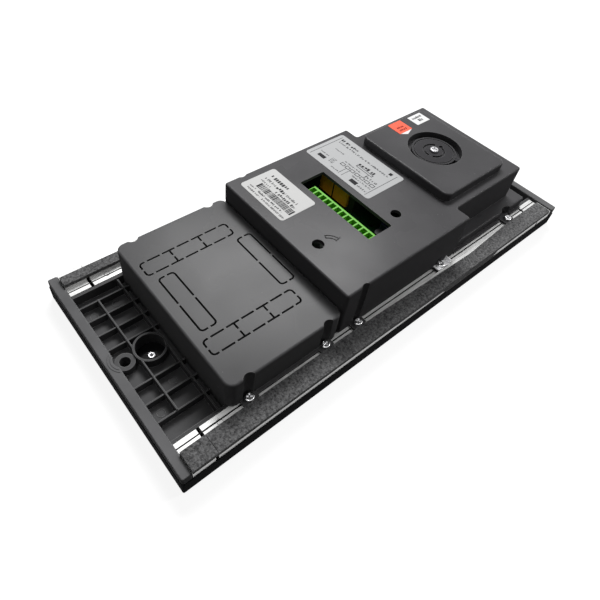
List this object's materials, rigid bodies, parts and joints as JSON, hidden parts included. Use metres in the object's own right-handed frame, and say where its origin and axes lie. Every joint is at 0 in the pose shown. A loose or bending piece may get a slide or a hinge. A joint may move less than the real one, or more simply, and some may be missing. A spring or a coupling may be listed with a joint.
{
  "type": "video door intercom panel",
  "caption": "Back of a long door intercom panel: black front shell, aluminium side rails with foam tape, moulded rear covers, terminal window, aimable camera and sprung call buttons.",
  "frame": {"origin": "centre of the front face, which is the resting plane", "axes": "+X along the panel from the button end to the camera end, +Y across it, +Z out of the back"},
  "size_m": [0.275, 0.123, 0.045],
  "materials": {
    "shell_black": "satin",
    "cap_black": "matte",
    "tray_black": "satin",
    "cover_grey": "fine texture",
    "cover_black": "fine texture",
    "turret_black": "satin",
    "bright_steel": "bright zinc",
    "dull_steel": "satin",
    "rail_aluminium": "mill finish",
    "foam": "open-cell foam",
    "boot_rubber": "matte",
    "lens_glass": "coated",
    "smoked_glass": "polished",
    "clear_window": "polished",
    "lamp_clear": "polished",
    "board_green": "solder resist",
    "terminal_green": "satin",
    "tape_orange": "polyimide tape",
    "ferrite": "matte",
    "trimmer_blue": "matte",
    "guide_white": "matte",
    "cone_paper": "matte",
    "switch_black": "matte",
    "button_metal": "brushed",
    "label_paper": "matte",
    "label_silver": "satin",
    "sticker_orange": "matte"
  },
  "bodies": {
    "panel": {"board_screws": "bright_steel", "button_bay_cover": "cover_grey", "button_board": "board_green", "camera_leds": "lamp_clear", "camera_window": "smoked_glass", "cover_screws": "bright_steel", "cup_screw": "bright_steel", "earth_clip": "bright_steel", "end_cap_left": "cap_black", "end_cap_right": "cap_black", "front_plate": "shell_black", "gasket_far": "foam", "gasket_near": "foam", "label_left": "label_paper", "label_middle": "label_silver", "led_board": "board_green", "light_guide": "guide_white", "main_board": "board_green", "main_cover": "cover_black", "microphone": "dull_steel", "microphone_boot": "boot_rubber", "name_cards": "label_paper", "name_windows": "clear_window", "rail_end_left_far": "rail_aluminium", "rail_end_left_near": "rail_aluminium", "rail_end_right_far": "rail_aluminium", "rail_end_right_near": "rail_aluminium", "rail_far": "rail_aluminium", "rail_near": "rail_aluminium", "rear_tray": "tray_black", "speaker_cone": "cone_paper", "speaker_frame": "dull_steel", "speaker_magnet": "ferrite", "sticker_red": "sticker_orange", "sticker_white": "label_paper", "tactile_switches": "switch_black", "terminal_block": "terminal_green", "terminal_screws": "bright_steel", "tone_trimmer": "trimmer_blue", "transformer_coil": "tape_orange", "transformer_core": "ferrite", "volume_trimmer": "trimmer_blue"},
    "turret": {"camera_turret": "turret_black", "turret_screw": "bright_steel", "turret_ring": "turret_black"},
    "camera": {"camera_housing": "turret_black", "camera_lens": "lens_glass", "camera_board": "board_green"},
    "volume_knob": {"volume_rotor": "switch_black"},
    "tone_knob": {"tone_rotor": "switch_black"},
    "button_1": {"call_button_1": "button_metal", "switch_plunger_1": "switch_black"},
    "button_2": {"call_button_2": "button_metal", "switch_plunger_2": "switch_black"},
    "button_3": {"call_button_3": "button_metal", "switch_plunger_3": "switch_black"}
  },
  "joints": [
    {"name": "button_1_press", "type": "slide", "parent": "panel", "child": "button_1", "axis": [0, 0, 1], "range_m": [0, 0.001], "stiffness_N_per_m": 1500, "springref_m": -0.0003},
    {"name": "button_2_press", "type": "slide", "parent": "panel", "child": "button_2", "axis": [0, 0, 1], "range_m": [0, 0.001], "stiffness_N_per_m": 1500, "springref_m": -0.0003},
    {"name": "button_3_press", "type": "slide", "parent": "panel", "child": "button_3", "axis": [0, 0, 1], "range_m": [0, 0.001], "stiffness_N_per_m": 1500, "springref_m": -0.0003},
    {"name": "turret_turn", "type": "hinge", "parent": "panel", "child": "turret", "pos_m": [0.0758, 0, 0.041], "axis": [0, 0, 1], "range_deg": [-15, 15]},
    {"name": "camera_tilt", "type": "hinge", "parent": "turret", "child": "camera", "pos_m": [0.0758, 0, 0.016], "axis": [0, 1, 0], "range_deg": [-10, 10]},
    {"name": "volume_turn", "type": "hinge", "parent": "panel", "child": "volume_knob", "pos_m": [-0.0294, -0.0149, 0.033], "axis": [0, 0, 1], "range_deg": [-135, 135]},
    {"name": "tone_turn", "type": "hinge", "parent": "panel", "child": "tone_knob", "pos_m": [0.019, -0.0221, 0.033], "axis": [0, 0, 1], "range_deg": [-135, 135]}
  ]
}
